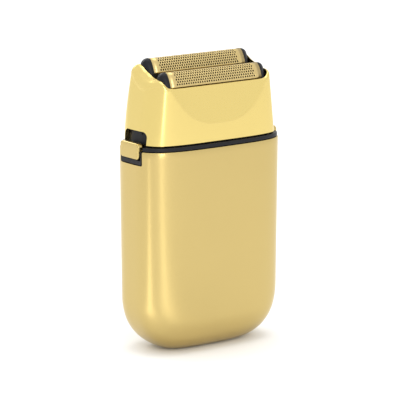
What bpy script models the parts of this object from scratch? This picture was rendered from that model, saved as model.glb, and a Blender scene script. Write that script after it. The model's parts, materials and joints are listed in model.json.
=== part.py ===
"""A two-foil shaver: a rounded handle with its drive inside, and a pull-off head with two floating foils.

Sizes are in millimetres and become metres in add(). Z is up, the front faces -Y, and the base is at Z = 0.
"""

from math import cos, pi, radians, sin

import bmesh
import bpy
from mathutils import Matrix, Vector

MM = 0.001
GAP = 0.3

# Handle
BODY_HEIGHT = 78.3
BODY_HALF_WIDTH = 32.0
BODY_HALF_DEPTH = 15.5
BODY_TAPER = 0.45
BODY_WALL = 1.2
BASE_ROUND_X = (17.4, 20.5)
BASE_ROUND_Y = (11.5, 13.3)
RIM_CHAMFER = 0.35

# Collar and deck
COLLAR_BOTTOM = BODY_HEIGHT + GAP
COLLAR_TOP = 79.9
COLLAR_INSET = 0.3
DECK_BOTTOM = 76.0
DECK_SCREWS = [(x, y) for x in (-16.0, 16.0) for y in (-8.6, 7.6)]

# Head: where there are two values, the first is at its foot and the second at its top
HEAD_BOTTOM = 80.2
HEAD_TOP = 109.6
HEAD_HALF_WIDTH = (30.5, 26.4)
HEAD_FRONT = (14.1, 13.1)
HEAD_REAR = (13.5, 8.5)
HEAD_WALL = 1.5
SIDE_DEPTH = (1.37, 1.57)
SIDE_POWER = 2.5
FRONT_WIDTH = 1.03
FRONT_POWER = (3.7, 4.9)
CREASE_SHARPNESS = (90.0, 150.0)
LIP_Z = 101.5
LIP_Y = -12.1
LIP_ROUND = 0.5
SCOOP_BOTTOM = 87.3
SCOOP_HALF_WIDTH = 21.6
SHOULDER_SIDE = 5.5
SHOULDER_REAR = 2.5
OPENING_HALF_WIDTH = 24.3
OPENING_FRONT = -11.4
OPENING_REAR = 7.4
OPENING_SQUARENESS = 16.0
OPENING_SILL = 97.4
WINDOW_HALF_WIDTH = 6.8
WINDOW_TOP = 85.4
CASSETTE_TOP = 96.0

# Foils: where each crest lies, seen along X
FOIL_CRESTS = {"front": (-7.4, 107.2), "rear": (3.0, 111.3)}
FOIL_HALF_WIDTH = 3.6
FOIL_DROP = 5.5
FOIL_HEIGHT = 5.75
FOIL_SHEET = 0.3
FOIL_HALF_LENGTH = 21.15
CAP_LENGTH = 2.5
CAP_ROUND = 2.9
CAP_FALL = 3.0
CAP_REACH = 3.6
CAP_CROWN = 4.0
CAP_SQUARING = 0.75
CARRIER_HEIGHT = 7.6

# Drive
DRIVE_Y = -3.3
CRANK_THROW = 1.2
PIN_RADIUS = 1.1
MOTOR_RADIUS = 10.0
MOTOR_BOTTOM = 47.5
MOTOR_TOP = 69.5
CAM_BOTTOM = 72.2
BRIDGE_BOTTOM = 82.0
BRIDGE_TOP = 84.5
CUTTER_HALF_WIDTH = 2.85
CUTTER_HALF_LENGTH = 17.4
CUTTER_HEIGHT = 5.8
POST_BELOW_CREST = 8.6

# Release buttons
NOTCH_HALF_WIDTH = 6.8
NOTCH_BOTTOM = 72.9
BUTTON_HALF_WIDTH = 5.75
BUTTON_FACE = 32.7
BUTTON_BOTTOM = 75.2
BUTTON_TOP = 81.3
HOOK_INNER = 25.9
POCKET_INNER = 20.0
POCKET_HALF_DEPTH = 3.2

# Power, board and switch
BATTERY_RADIUS = 7.0
BATTERY_Z = 28.0
BOARD_FRONT = 10.1
BOARD_REAR = 11.3
BOARD_SCREW_X = 17.0
BOARD_SCREW_Z = 60.0
LEAD_X = 12.2
SWITCH_Z = 49.0
SWITCH_TRAVEL = 5.0
SLIDER_HALF_HEIGHT = 5.0
BEZEL_HALF_WIDTH = 6.5
BEZEL_HALF_HEIGHT = 13.0
BEZEL_RIM = 1.0
LENS_Z = 30.0

RING_POINTS = 48
RING_ANGLES = [2 * pi * i / RING_POINTS for i in range(RING_POINTS)]


# ---------------------------------------------------------------- materials

def principled(name, colour, roughness, metallic):
    """One plain Principled material."""
    material = bpy.data.materials.new(name)
    material.use_nodes = True
    shader = material.node_tree.nodes["Principled BSDF"]
    shader.inputs["Base Color"].default_value = (*colour, 1.0)
    shader.inputs["Roughness"].default_value = roughness
    shader.inputs["Metallic"].default_value = metallic
    material.diffuse_color = (*colour, 1.0)
    return material


def make_materials():
    """Every finish on the shaver, by name."""
    return {
        "satin_gold": principled("satin_gold", (0.70, 0.50, 0.18), 0.32, 1.0),
        "bright_gold": principled("bright_gold", (0.85, 0.64, 0.26), 0.2, 1.0),
        "foil_gold": principled("foil_gold", (0.75, 0.60, 0.30), 0.3, 1.0),
        "black_plastic": principled("black_plastic", (0.018, 0.018, 0.02), 0.35, 0.0),
        "black_rubber": principled("black_rubber", (0.02, 0.02, 0.02), 0.8, 0.0),
        "white_plastic": principled("white_plastic", (0.7, 0.7, 0.68), 0.5, 0.0),
        "steel": principled("steel", (0.6, 0.6, 0.6), 0.3, 1.0),
        "blade_steel": principled("blade_steel", (0.04, 0.035, 0.03), 0.5, 1.0),
        "green_board": principled("green_board", (0.02, 0.16, 0.06), 0.5, 0.0),
        "battery_wrap": principled("battery_wrap", (0.05, 0.16, 0.42), 0.4, 0.0),
        "nickel": principled("nickel", (0.62, 0.58, 0.52), 0.35, 1.0),
        "red_wire": principled("red_wire", (0.5, 0.02, 0.02), 0.5, 0.0),
        "lens": principled("lens", (0.75, 0.8, 0.82), 0.15, 0.0),
    }


# ---------------------------------------------------------------- mesh tools

def face_out(bm):
    """Turns a closed mesh's faces outwards."""
    bmesh.ops.recalc_face_normals(bm, faces=bm.faces)
    if bm.calc_volume(signed=True) < 0:
        bmesh.ops.reverse_faces(bm, faces=bm.faces)
    return bm


def loft(rings, closed=False):
    """Joins outlines of equal length in order; the ends are capped unless the last ring meets the first."""
    bm = bmesh.new()
    rows = [[bm.verts.new(point) for point in ring] for ring in rings]
    count = len(rings[0])
    pairs = list(zip(rows, rows[1:]))
    if closed:
        pairs.append((rows[-1], rows[0]))
    for low, high in pairs:
        for i in range(count):
            j = (i + 1) % count
            bm.faces.new((low[i], low[j], high[j], high[i]))
    if not closed:
        bm.faces.new(list(reversed(rows[0])))
        bm.faces.new(rows[-1])
    return face_out(bm)


def signed_power(value, exponent):
    """A power of a value's size, with the value's own sign."""
    return abs(value) ** exponent * (1 if value > 0 else -1)


def superellipse_reach(c, s, power):
    """How far a superellipse of unit size reaches along the direction (c, s)."""
    return (abs(c) ** power + abs(s) ** power) ** (-1 / power)


def superellipse_point(angle, half_width, half_depth, power):
    """The (x, y) in one direction on an outline between an ellipse and a rectangle."""
    c = cos(angle)
    s = sin(angle)
    reach = superellipse_reach(c, s, power)
    return half_width * reach * c, half_depth * reach * s


def superellipse(half_width, half_depth, power, z):
    """A whole outline round the Z axis, between an ellipse and a rectangle."""
    return [(*superellipse_point(angle, half_width, half_depth, power), z) for angle in RING_ANGLES]


def block(x, y, z):
    """A box between pairs of limits along X, Y and Z."""
    bm = bmesh.new()
    size = (x[1] - x[0], y[1] - y[0], z[1] - z[0])
    middle = ((x[0] + x[1]) / 2, (y[0] + y[1]) / 2, (z[0] + z[1]) / 2)
    bmesh.ops.create_cube(bm, size=1.0, matrix=Matrix.Translation(middle) @ Matrix.Diagonal((*size, 1.0)))
    return bm


def rounded_slab(half_x, half_y, radius, z_low, z_high, centre=(0.0, 0.0), steps=4):
    """A flat slab with rounded corners, from z_low to z_high."""
    outline = []
    for corner in range(4):
        sign_x = 1 if corner in (0, 3) else -1
        sign_y = 1 if corner in (0, 1) else -1
        for step in range(steps + 1):
            angle = corner * pi / 2 + step * pi / 2 / steps
            x = centre[0] + sign_x * (half_x - radius) + radius * cos(angle)
            y = centre[1] + sign_y * (half_y - radius) + radius * sin(angle)
            outline.append((x, y))
    return loft([[(x, y, z) for x, y in outline] for z in (z_low, z_high)])


def turned(profile, sides=24, centre=(0.0, 0.0), closed=False):
    """A solid, or with closed a ring, turned about a vertical axis from its (radius, z) corners."""
    rings = []
    for radius, z in profile:
        ring = []
        for i in range(sides):
            angle = 2 * pi * i / sides
            ring.append((centre[0] + radius * cos(angle), centre[1] + radius * sin(angle), z))
        rings.append(ring)
    return loft(rings, closed)


def extruded_x(outline, x_low, x_high):
    """A closed (y, z) outline drawn out along X."""
    return loft([[(x, y, z) for y, z in outline] for x in (x_low, x_high)])


def tube(points, radius, sides=6):
    """A round bar along a list of points."""
    rings = []
    points = [Vector(p) for p in points]
    for i, point in enumerate(points):
        ahead = points[min(i + 1, len(points) - 1)] - points[max(i - 1, 0)]
        side = ahead.cross(Vector((0, 0, 1)))
        if side.length < 1e-6:
            side = Vector((1, 0, 0))
        side.normalize()
        normal = ahead.cross(side).normalized()
        ring = []
        for k in range(sides):
            angle = 2 * pi * k / sides
            ring.append(tuple(point + radius * (cos(angle) * side + sin(angle) * normal)))
        rings.append(ring)
    return loft(rings)


def coil(radius, wire, z_low, z_high, turns, centre, steps=8, sides=4):
    """A compression spring about a vertical axis."""
    total = turns * steps
    points = []
    for i in range(total + 1):
        angle = 2 * pi * i / steps
        z = z_low + wire + (z_high - z_low - 2 * wire) * i / total
        points.append((centre[0] + radius * cos(angle), centre[1] + radius * sin(angle), z))
    return tube(points, wire, sides)


def turned_about_x(bm, centre):
    """Lays a vertical shape down along X and moves it to a place."""
    turn = Matrix.Rotation(radians(90.0), 4, "Y")
    bmesh.ops.transform(bm, matrix=Matrix.Translation(centre) @ turn, verts=bm.verts)
    return bm


def turned_about_y(bm, centre):
    """Points a vertical shape along +Y and moves it to a place."""
    turn = Matrix.Rotation(radians(-90.0), 4, "X")
    bmesh.ops.transform(bm, matrix=Matrix.Translation(centre) @ turn, verts=bm.verts)
    return bm


def mesh_object(name, bm):
    """A scene object from a bmesh, in metres."""
    bmesh.ops.scale(bm, vec=(MM, MM, MM), verts=bm.verts)
    mesh = bpy.data.meshes.new(name)
    bm.to_mesh(mesh)
    bm.free()
    thing = bpy.data.objects.new(name, mesh)
    bpy.context.scene.collection.objects.link(thing)
    return thing


def combined(name, first, others, operation):
    """The first shape with the others cut from it or joined to it, one after another."""
    thing = mesh_object(name, first)
    for other in others:
        tool = mesh_object(name + "_tool", other)
        boolean = thing.modifiers.new("boolean", "BOOLEAN")
        boolean.operation = operation
        boolean.solver = "EXACT"
        boolean.object = tool
        bpy.context.view_layer.update()
        result = thing.evaluated_get(bpy.context.evaluated_depsgraph_get())
        mesh = bpy.data.meshes.new_from_object(result)
        thing.modifiers.clear()
        thing.data = mesh
        bpy.data.objects.remove(tool)
    bm = bmesh.new()
    bm.from_mesh(thing.data)
    bmesh.ops.scale(bm, vec=(1 / MM, 1 / MM, 1 / MM), verts=bm.verts)
    bmesh.ops.remove_doubles(bm, verts=bm.verts, dist=0.002)
    bmesh.ops.dissolve_degenerate(bm, edges=bm.edges, dist=0.002)
    bpy.data.objects.remove(thing)
    return bm


def cut(name, first, *others):
    """The first shape less the others."""
    return combined(name, first, others, "DIFFERENCE")


def join(name, first, *others):
    """All the shapes as one body."""
    return combined(name, first, others, "UNION")


def add(name, bm, material, parent=None, smooth=35.0):
    """Turns a shape drawn in handle coordinates into a named piece, with its origin on its parent's axis."""
    origin = Vector(parent.location) / MM if parent else Vector((0, 0, 0))
    bmesh.ops.translate(bm, vec=-origin, verts=bm.verts)
    thing = mesh_object(name, bm)
    thing.data.materials.append(material)
    thing.data.shade_smooth()
    thing.data.set_sharp_from_angle(angle=radians(smooth))
    if parent:
        thing.parent = parent
    return thing


def axis_empty(name, place):
    """An empty on a joint's axis, which carries the pieces that move with it."""
    empty = bpy.data.objects.new(name, None)
    empty.location = Vector(place) * MM
    empty.empty_display_size = 5 * MM
    bpy.context.scene.collection.objects.link(empty)
    bpy.context.view_layer.update()
    return empty


# ---------------------------------------------------------------- outlines of the handle and head

def quarter(height, rounding):
    """How far the wall draws in at a height above the base, for a rounding (across, up)."""
    across, up = rounding
    if height >= up:
        return 0.0
    return across * (1 - (1 - ((up - height) / up) ** 2) ** 0.5)


def body_ring(z, inset=0.0, height=None):
    """The handle's outline at a height, moved inwards by inset."""
    height = z if height is None else height
    share = 1 - height / BODY_HEIGHT
    half_width = BODY_HALF_WIDTH - BODY_TAPER * share - quarter(height, BASE_ROUND_X) - inset
    half_depth = BODY_HALF_DEPTH - quarter(height, BASE_ROUND_Y) - inset
    return superellipse(half_width, half_depth, 3.5 - 0.3 * share, z)


def side_profile(y):
    """The height of the head's rim along Y: it climbs from the lip in a hump beside each foil."""
    knots = [(OPENING_FRONT, LIP_Z), (-11.2, 102.0), (-10.9, 102.9), (-10.4, 103.6), (-9.1, 104.4),
             (-6.5, 104.8), (-3.7, 105.5), (-0.4, 106.9), (2.3, 108.35), (4.6, 109.2), (5.8, 108.6),
             (OPENING_REAR, 105.7)]
    for (y0, z0), (y1, z1) in zip(knots, knots[1:]):
        if y <= y1:
            share = max(0.0, (y - y0) / (y1 - y0))
            return z0 + (z1 - z0) * share
    return knots[-1][1]


def between(ends, share):
    """The value at a share of the way between two ends."""
    return ends[0] + (ends[1] - ends[0]) * share


def creased_reach(c, s, share):
    """The reach of the head's front half, where the curves of its side and its front meet in a crease."""
    side = superellipse_reach(c, s / between(SIDE_DEPTH, share), SIDE_POWER)
    front = superellipse_reach(c / FRONT_WIDTH, s, between(FRONT_POWER, share))
    power = between(CREASE_SHARPNESS, share)
    return (side ** -power + front ** -power) ** (-1 / power)


def head_point(angle, z, inset=0.0, scoop=True):
    """A point on the head's outer wall, which leans in towards its top and most at the rear."""
    share = (z - HEAD_BOTTOM) / (HEAD_TOP - HEAD_BOTTOM)
    half_width = between(HEAD_HALF_WIDTH, share) - inset
    front = between(HEAD_FRONT, share) - inset
    rear = between(HEAD_REAR, share) - inset
    behind = sin(angle) > 0
    if behind:
        x, y = superellipse_point(angle, half_width, rear, 3.5 + 5.0 * share)
    else:
        reach = creased_reach(cos(angle), sin(angle), share)
        x = half_width * reach * cos(angle)
        y = front * reach * sin(angle)
    if scoop and not behind and abs(x) < SCOOP_HALF_WIDTH:
        edge = SCOOP_BOTTOM + (LIP_Z - SCOOP_BOTTOM) * (abs(x) / SCOOP_HALF_WIDTH) ** 3
        if z > edge:
            y += max(0.0, LIP_Y - y) * min(1.0, (z - edge) / (LIP_Z - edge))
    return Vector((x, y, z))


def opening_point(angle, z=0.0):
    """A point on the opening that the foils stand in."""
    centre_y = (OPENING_FRONT + OPENING_REAR) / 2
    half_depth = (OPENING_REAR - OPENING_FRONT) / 2
    x, y = superellipse_point(angle, OPENING_HALF_WIDTH, half_depth, OPENING_SQUARENESS)
    return Vector((x, centre_y + y, z))


def head_column(angle, rows=4, round_steps=4):
    """The wall's section at one angle: up the outside, over the shoulder and down the inside."""
    inner = opening_point(angle)
    top = side_profile(inner.y)
    outer = head_point(angle, top)
    thickness = max(0.5, (outer.xy - inner.xy).length)
    behind = sin(angle) > 0
    rise = min(SHOULDER_REAR if behind else LIP_ROUND, 0.85 * thickness)
    rise += (SHOULDER_SIDE - rise) * abs(cos(angle)) ** (3 if behind else 6)
    foot = head_point(angle, HEAD_BOTTOM, inset=RIM_CHAMFER)
    column = [foot]
    start = HEAD_BOTTOM + RIM_CHAMFER
    for i in range(rows + 1):
        column.append(head_point(angle, start + (top - rise - start) * i / rows))
    shoulder = column[-1]
    for i in range(1, round_steps + 1):
        turn = pi / 2 * i / round_steps
        x = inner.x + (shoulder.x - inner.x) * cos(turn)
        y = inner.y + (shoulder.y - inner.y) * cos(turn)
        column.append(Vector((x, y, shoulder.z + rise * sin(turn))))
    column.append(opening_point(angle, OPENING_SILL))
    for z in (OPENING_SILL - 1.2, 91.0, 86.0, HEAD_BOTTOM):
        column.append(head_point(angle, z, inset=HEAD_WALL, scoop=False))
    return column


# ---------------------------------------------------------------- handle

def add_handle(m):
    """The shell, collar and deck, button frames and screws."""
    heights = [0.0, 0.5, 1.8, 4.2, 8.2, 13.4, 20.6, BODY_HEIGHT - RIM_CHAMFER]
    rings = [body_ring(z) for z in heights]
    rings.append(body_ring(BODY_HEIGHT, RIM_CHAMFER))
    for z in (BODY_HEIGHT, 20.6, 13.4, 8.2, 4.2, 2.2):
        rings.append(body_ring(z, BODY_WALL))
    notch = block((-40, 40), (-NOTCH_HALF_WIDTH, NOTCH_HALF_WIDTH), (NOTCH_BOTTOM, 90))
    port = rounded_slab(5.6, 2.4, 2.39, -2, 4)
    hole_half_width = BEZEL_HALF_WIDTH + GAP
    hole_half_height = BEZEL_HALF_HEIGHT + GAP
    switch_hole = rounded_slab(hole_half_width, hole_half_height, hole_half_width - 0.01, 0, 10, steps=6)
    turned_about_y(switch_hole, (0, 11, SWITCH_Z))
    lens_hole = turned_about_y(turned([(1.6, 0), (1.6, 10)], 16), (0, 11, LENS_Z))
    add("body_shell", cut("shell", loft(rings), notch, port, switch_hole, lens_hole), m["satin_gold"])

    plug = [body_ring(z, BODY_WALL + GAP, BODY_HEIGHT) for z in (DECK_BOTTOM, COLLAR_BOTTOM)]
    flange = [body_ring(COLLAR_BOTTOM, COLLAR_INSET, BODY_HEIGHT),
              body_ring(COLLAR_TOP - 0.25, COLLAR_INSET, BODY_HEIGHT),
              body_ring(COLLAR_TOP, COLLAR_INSET + 0.25, BODY_HEIGHT)]
    pockets = []
    for side in (-1, 1):
        frame_room = block((28.0, 40.0), (-NOTCH_HALF_WIDTH, NOTCH_HALF_WIDTH), (70, 90))
        hook_room = block((POCKET_INNER, 29.0), (-POCKET_HALF_DEPTH, POCKET_HALF_DEPTH), (70, 90))
        pockets += [mirrored(frame_room, side), mirrored(hook_room, side)]
    drive_hole = turned([(2.9, 70), (2.9, 90)], 20, (0, DRIVE_Y))
    pin_holes = [turned([(1.3, 70), (1.3, 90)], 12, (side * 8.5, DRIVE_Y)) for side in (-1, 1)]
    screw_hole = [(1.3, 70), (1.3, 78.4), (2.3, 78.4), (2.3, 90)]
    screw_holes = [turned(screw_hole, 12, place) for place in DECK_SCREWS]
    add("top_deck", cut("deck", loft(plug + flange), *pockets, drive_hole, *pin_holes, *screw_holes),
        m["black_plastic"])
    for i, place in enumerate(DECK_SCREWS):
        screw = turned([(0.8, 69.0), (1.0, 70.0), (1.0, 78.7), (2.0, 78.7), (2.0, 79.5)], 12, place)
        add(f"deck_screw_{i + 1}", screw, m["steel"])

    for name, side in (("left", -1), ("right", 1)):
        half_width = NOTCH_HALF_WIDTH - GAP
        frame = block((28.4, 31.75), (-half_width, half_width), (NOTCH_BOTTOM + GAP, BODY_HEIGHT))
        gap = block((20, 40), (-BUTTON_HALF_WIDTH - GAP, BUTTON_HALF_WIDTH + GAP), (BUTTON_BOTTOM - GAP, 90))
        add(f"button_frame_{name}", mirrored(cut("frame", frame, gap), side), m["black_plastic"])
    seal = turned([(3.0, 80.2), (5.0, 80.2), (4.6, 81.5), (3.4, 81.5)], 20, (0, DRIVE_Y), closed=True)
    add("drive_seal", seal, m["black_rubber"])


def mirrored(bm, side):
    """The shape as drawn for +X, or its mirror image for -X."""
    if side < 0:
        bmesh.ops.scale(bm, vec=(-1, 1, 1), verts=bm.verts)
        bmesh.ops.reverse_faces(bm, faces=bm.faces)
    return bm


def add_chassis(m):
    """The inner frame with its motor cradle, battery trough and screw holes."""
    frame = block((-21.5, 21.5), (-11.4, BOARD_FRONT - GAP), (16.0, DECK_BOTTOM - GAP))
    bore = turned([(MOTOR_RADIUS + GAP, 44.0), (MOTOR_RADIUS + GAP, 90.0)], 32, (0, DRIVE_Y))
    wire_room = block((-12.0, 12.0), (-20.0, 6.0), (38.0, 45.0))
    room = BATTERY_RADIUS + GAP
    trough = turned_about_x(turned([(room, -40), (room, 40)], 32), (0, 0, BATTERY_Z))
    trough_mouth = block((-40, 40), (-20, 0), (BATTERY_Z - room, BATTERY_Z + room))
    screw_holes = [turned([(1.3, 66.0), (1.3, 90.0)], 12, place) for place in DECK_SCREWS]
    board_holes = []
    lead_slots = []
    for side in (-1, 1):
        place = (side * BOARD_SCREW_X, BOARD_FRONT, BOARD_SCREW_Z)
        board_holes.append(turned_about_y(turned([(0.9, -4), (0.9, 10)], 10), place))
        middle = side * LEAD_X
        lead_slots.append(block((middle - 1.5, middle + 1.5), (-2.0, 20.0), (38.0, 44.9)))
    add("chassis", cut("chassis", frame, bore, wire_room, trough, trough_mouth, *screw_holes, *board_holes,
                       *lead_slots), m["black_plastic"])


def add_motor(m, rotor):
    """The motor, and the rotor that turns in it: shaft, eccentric cam and crank pin."""
    can = [(1.3, MOTOR_BOTTOM), (MOTOR_RADIUS, MOTOR_BOTTOM), (MOTOR_RADIUS, MOTOR_TOP), (3.2, MOTOR_TOP),
           (3.2, MOTOR_TOP + 1.5), (1.3, MOTOR_TOP + 1.5)]
    add("motor_can", turned(can, 28, (0, DRIVE_Y), closed=True), m["steel"])
    cap = [(0.01, 45.4), (9.2, 45.4), (9.2, MOTOR_BOTTOM - GAP), (0.01, MOTOR_BOTTOM - GAP)]
    add("motor_end_cap", turned(cap, 28, (0, DRIVE_Y)), m["white_plastic"])
    shaft = [(1.0, MOTOR_BOTTOM + 0.3), (1.0, CAM_BOTTOM + 2.3)]
    add("motor_shaft", turned(shaft, 16, (0, DRIVE_Y)), m["steel"], rotor)
    pin = turned([(PIN_RADIUS, CAM_BOTTOM + 2.9), (PIN_RADIUS, 83.9), (PIN_RADIUS - 0.3, 84.2)], 16,
                 (CRANK_THROW, DRIVE_Y))
    solid = turned([(3.8, CAM_BOTTOM), (3.8, CAM_BOTTOM + 3.2)], 24, (0, DRIVE_Y))
    socket = turned([(1.3, CAM_BOTTOM - 1), (1.3, CAM_BOTTOM + 2.6)], 16, (0, DRIVE_Y))
    add("eccentric_cam", cut("cam", join("cam", solid, pin), socket), m["white_plastic"], rotor)


def add_bridge(m, slide):
    """The oscillating bridge that the crank pin shakes along X, with one drive post for each cutter."""
    plate = rounded_slab(12.0, 7.5, 2.0, BRIDGE_BOTTOM, BRIDGE_TOP, (0, DRIVE_Y + 0.3))
    yoke = turned([(3.9, 70), (3.9, 90)], 24, (0, DRIVE_Y))
    slots = [rounded_slab(2.7, 1.3, 1.29, 70, 90, (side * 8.5, DRIVE_Y)) for side in (-1, 1)]
    posts = []
    for y, crest in FOIL_CRESTS.values():
        top = crest - POST_BELOW_CREST
        posts.append(turned([(1.2, BRIDGE_BOTTOM + 1), (1.2, top - 0.3), (0.9, top)], 14, (0, y)))
    bare = cut("bridge", plate, yoke, *slots)
    add("oscillating_bridge", join("bridge", bare, *posts), m["white_plastic"], slide)
    for name, side in (("left", -1), ("right", 1)):
        head = BRIDGE_TOP + 0.3
        pin = turned([(1.0, 77.0), (1.0, head), (2.0, head), (2.0, head + 0.6)], 14, (side * 8.5, DRIVE_Y))
        add(f"guide_pin_{name}", pin, m["steel"])


def add_cutters(m, floats):
    """Each blade block with its carrier and the spring that presses it to the foil."""
    for name, (y, crest) in FOIL_CRESTS.items():
        add(f"cutter_{name}", cutter_blades(y, crest), m["blade_steel"], floats[name])
        top = crest - CUTTER_HEIGHT - 0.4
        holder = block((-CUTTER_HALF_LENGTH, CUTTER_HALF_LENGTH), (y - 1.9, y + 1.9), (top - 3.4, top))
        socket = turned([(1.5, top - 10), (1.5, top - 0.9)], 14, (0, y))
        add(f"cutter_carrier_{name}", cut("holder", holder, socket), m["black_plastic"], floats[name])
        spring = coil(1.75, 0.2, BRIDGE_TOP + 0.2, top - 3.6, 5, (0, y))
        add(f"cutter_spring_{name}", spring, m["steel"], floats["bridge"])


def arch(y, crest, half_width, drop, foot, steps=6):
    """An arch outline in (y, z): a parabola down from its crest by drop, then upright to its foot."""
    outline = [(y + half_width, foot)]
    for i in range(steps + 1):
        share = 1 - 2 * i / steps
        outline.append((y + half_width * share, crest - drop * share ** 2))
    outline.append((y - half_width, foot))
    return outline


def cutter_blades(y, crest, ribs=11):
    """A row of arched blades on one core."""
    foot = crest - CUTTER_HEIGHT
    blade = arch(y, crest - 0.75, CUTTER_HALF_WIDTH, 4.95, foot)
    core = arch(y, crest - 1.2, CUTTER_HALF_WIDTH - 0.45, 4.5, foot)
    pitch = 2 * CUTTER_HALF_LENGTH / ribs
    rings = []
    for i in range(ribs):
        start = -CUTTER_HALF_LENGTH + i * pitch
        for share, outline in ((0.0, core), (0.35, core), (0.35, blade), (0.9, blade), (0.9, core)):
            rings.append([(start + share * pitch, py, pz) for py, pz in outline])
    rings.append([(CUTTER_HALF_LENGTH, py, pz) for py, pz in core])
    return loft(rings)


def add_battery(m):
    """The cell lying across the handle, with a welded tab at each end."""
    cell = [(BATTERY_RADIUS - 0.6, -24.5), (BATTERY_RADIUS, -24.0), (BATTERY_RADIUS, 23.5),
            (BATTERY_RADIUS - 0.6, 24.0), (2.6, 24.0), (2.6, 25.0)]
    add("battery_cell", turned_about_x(turned(cell, 28), (0, 0, BATTERY_Z)), m["battery_wrap"])
    for name, x in (("negative", -25.3), ("positive", 25.5)):
        tab = turned_about_x(turned([(3.4, -0.15), (3.4, 0.15)], 16), (x, 0, BATTERY_Z))
        strip = block((x - 0.15, x + 0.15), (-1.5, 1.5), (BATTERY_Z, BATTERY_Z + 9.0))
        add(f"battery_tab_{name}", join("tab", tab, strip), m["nickel"])


def add_board(m, switch):
    """The circuit board behind the chassis, its slide switch, the slider, the bezel and the lens."""
    board = block((-20.0, 20.0), (BOARD_FRONT, BOARD_REAR), (16.0, 66.0))
    chips = []
    for x, z, w, h in ((-13, 56, 2.5, 3.0), (12, 38, 3.0, 2.0), (-12, 30, 2.0, 2.0), (13, 22, 2.2, 1.4)):
        chips.append(block((x - w, x + w), (BOARD_REAR - 0.5, BOARD_REAR + 0.9), (z - h, z + h)))
    led = block((-0.8, 0.8), (BOARD_REAR - 0.5, BOARD_REAR + 0.8), (LENS_Z - 0.8, LENS_Z + 0.8))
    holes = []
    for side in (-1, 1):
        place = (side * BOARD_SCREW_X, BOARD_REAR, BOARD_SCREW_Z)
        holes.append(turned_about_y(turned([(1.1, -10), (1.1, 10)], 10), place))
    add("circuit_board", cut("board", join("board", board, *chips, led), *holes), m["green_board"])
    for name, side in (("left", -1), ("right", 1)):
        screw = turned([(0.6, -3.5), (0.6, 1.5), (1.6, 1.5), (1.6, 2.2)], 12)
        turned_about_y(screw, (side * BOARD_SCREW_X, BOARD_FRONT, BOARD_SCREW_Z))
        add(f"board_screw_{name}", screw, m["steel"])
    housing = block((-4.0, 4.0), (BOARD_REAR + GAP, 12.8), (SWITCH_Z - 6.0, SWITCH_Z + 6.0))
    add("slide_switch", housing, m["steel"])

    bezel = rounded_slab(BEZEL_HALF_WIDTH, BEZEL_HALF_HEIGHT, BEZEL_HALF_WIDTH - 0.01, 0, 1.95, steps=6)
    turned_about_y(bezel, (0, 13.3, SWITCH_Z))
    half_width = BEZEL_HALF_WIDTH - BEZEL_RIM
    dish = rounded_slab(half_width, BEZEL_HALF_HEIGHT - BEZEL_RIM, half_width - 0.01, 0, 9, steps=6)
    turned_about_y(dish, (0, 14.1, SWITCH_Z))
    slot = block((-1.6, 1.6), (10, 20), (SWITCH_Z - 6.0, SWITCH_Z + 6.0))
    add("switch_bezel", cut("bezel", bezel, dish, slot), m["black_plastic"])
    low = SWITCH_Z - SWITCH_TRAVEL / 2
    knob = turned_about_y(rounded_slab(4.3, SLIDER_HALF_HEIGHT, 1.5, 0, 0.75), (0, 14.4, low))
    ribs = [block((-3.2, 3.2), (15.0, 15.35), (low + step * 1.6 - 0.35, low + step * 1.6 + 0.35))
            for step in (-2, -1, 0, 1, 2)]
    stem = block((-1.2, 1.2), (13.1, 14.6), (low - 2.5, low + 2.5))
    add("power_switch", join("knob", knob, *ribs, stem), m["satin_gold"], switch)
    lens = turned_about_y(turned([(1.3, 0), (1.3, 2.0)], 16), (0, 13.3, LENS_Z))
    add("indicator_lens", lens, m["lens"])


def add_port(m):
    """The charging socket in the base."""
    bezel = rounded_slab(5.3, 2.1, 2.09, 0.3, 1.5)
    mouth = rounded_slab(4.7, 1.75, 1.74, -5, 5)
    add("port_bezel", cut("bezel", bezel, mouth), m["black_plastic"])
    case = rounded_slab(4.5, 1.55, 1.54, 0.8, 8.6)
    hollow = rounded_slab(4.2, 1.25, 1.24, -5, 7.8)
    tongue = block((-3.3, 3.3), (-0.35, 0.35), (1.6, 8.2))
    add("charging_socket", join("socket", cut("socket", case, hollow), tongue), m["nickel"])


def add_leads(m):
    """The two motor leads, from the end cap to the board."""
    for name, side, finish in (("red", 1, "red_wire"), ("black", -1, "black_rubber")):
        route = [(side * 5.0, DRIVE_Y, 45.0), (side * 5.4, DRIVE_Y, 43.4), (side * 8.5, -1.5, 42.4),
                 (side * 11.6, 1.5, 42.0), (side * LEAD_X, 5.0, 42.0), (side * LEAD_X, 9.8, 42.0)]
        add(f"motor_lead_{name}", tube(route, 0.55), m[finish])


def add_buttons(m, slides):
    """The two head release buttons with their springs."""
    for name, side in (("left", -1), ("right", 1)):
        tab = button_tab()
        shelf = block((HOOK_INNER + 1.0, 31.5), (-2.7, 2.7), (76.2, 78.0))
        hook = block((HOOK_INNER, HOOK_INNER + 2.0), (-2.5, 2.5), (76.2, 84.0))
        button = join("button", tab, shelf, hook)
        add(f"release_button_{name}", mirrored(button, side), m["satin_gold"], slides[name])
        length = HOOK_INNER - POCKET_INNER - 2 * GAP
        spring = turned_about_x(coil(1.0, 0.2, 0.0, length, 4, (0, 0)), (POCKET_INNER + GAP, 0, 77.2))
        add(f"button_spring_{name}", mirrored(spring, side), m["steel"])


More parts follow.
